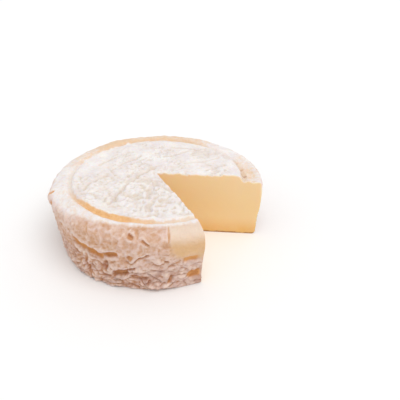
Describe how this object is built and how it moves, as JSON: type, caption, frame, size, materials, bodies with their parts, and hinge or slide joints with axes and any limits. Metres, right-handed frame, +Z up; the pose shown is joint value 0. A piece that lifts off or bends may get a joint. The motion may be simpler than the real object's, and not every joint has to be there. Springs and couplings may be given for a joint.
{
  "type": "cheese wheel",
  "caption": "Small soft-ripened cheese wheel with a wedge cut out, showing pale straw-yellow paste inside a wrinkled bloomy rind with a raised lip.",
  "frame": {"origin": "on the wheel's axis, at the centre of its box, in the plane of the flat base it stands on", "axes": "+Z up, along the wheel's axis; the missing wedge opens towards +X and -Y"},
  "size_m": [0.132, 0.1292, 0.0431],
  "materials": {
    "cheese": "matt bloomy rind in cream and beige, with smooth straw-yellow paste on the cut faces"
  },
  "bodies": {
    "root": {"cheese_wheel": "cheese"}
  },
  "joints": []
}
